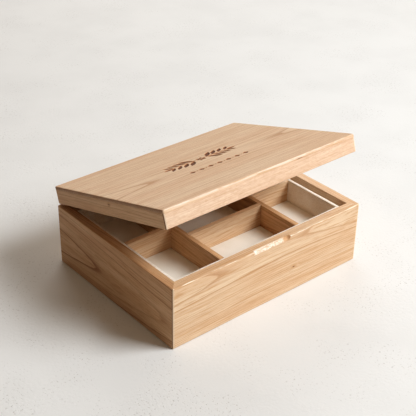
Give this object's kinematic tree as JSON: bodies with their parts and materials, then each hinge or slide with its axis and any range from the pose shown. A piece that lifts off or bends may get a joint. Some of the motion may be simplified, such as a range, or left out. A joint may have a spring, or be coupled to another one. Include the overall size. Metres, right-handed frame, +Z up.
{
  "type": "keepsake box",
  "caption": "Rectangular mitred wooden keepsake box with a hollow hinged lid held ajar, a thumb scoop in the front rim and a lift-out tray of lined cells.",
  "frame": {"origin": "centre of the box's underside, on the surface it stands on", "axes": "+X along the front to the right, +Y from the front to the hinged back, +Z up"},
  "size_m": [0.3, 0.2396, 0.1744],
  "materials": {
    "box_oak": "clear matt oil on fine-sanded oak",
    "lid_oak": "clear matt oil on fine-sanded oak",
    "divider_oak": "matt oiled oak",
    "tray_board": "plain sanded board",
    "tray_cloth": "cream cotton cloth glued over board",
    "cell_lining": "short-nap cream felt",
    "box_lining": "short-nap cream felt",
    "brass": "satin brass"
  },
  "bodies": {
    "box": {"front_wall": "box_oak", "back_wall": "box_oak", "left_wall": "box_oak", "right_wall": "box_oak", "bottom_panel": "box_oak", "bottom_lining": "box_lining", "tray_rail_left": "divider_oak", "tray_rail_right": "divider_oak", "hinge_left_box_leaf": "brass", "hinge_right_box_leaf": "brass", "hinge_left_pin": "brass", "hinge_right_pin": "brass", "box_leaf_screws": "brass"},
    "lid": {"lid_top_board": "lid_oak", "lid_front_rail": "lid_oak", "lid_back_rail": "lid_oak", "lid_left_rail": "lid_oak", "lid_right_rail": "lid_oak", "hinge_left_lid_leaf": "brass", "hinge_right_lid_leaf": "brass", "lid_leaf_screws": "brass"},
    "tray": {"cell_pad_back_centre": "cell_lining", "cell_pad_back_left": "cell_lining", "cell_pad_back_right": "cell_lining", "cell_pad_front_centre": "cell_lining", "cell_pad_front_left": "cell_lining", "cell_pad_front_right": "cell_lining", "cross_divider_centre": "divider_oak", "cross_divider_left": "divider_oak", "cross_divider_right": "divider_oak", "tray_back_wall": "tray_cloth", "tray_base": "tray_board", "tray_divider_left": "divider_oak", "tray_divider_right": "divider_oak", "tray_front_wall": "tray_cloth", "tray_left_wall": "tray_cloth", "tray_right_wall": "tray_cloth"}
  },
  "joints": [
    {"name": "lid_hinge", "type": "hinge", "parent": "box", "child": "lid", "pos_m": [0, 0.11925, 0.0834], "axis": [-1, 0, 0], "range_deg": [-17.3, 77.7]},
    {"name": "tray_lift", "type": "slide", "parent": "box", "child": "tray", "axis": [0, 0, 1], "range_m": [0, 0.02]}
  ]
}
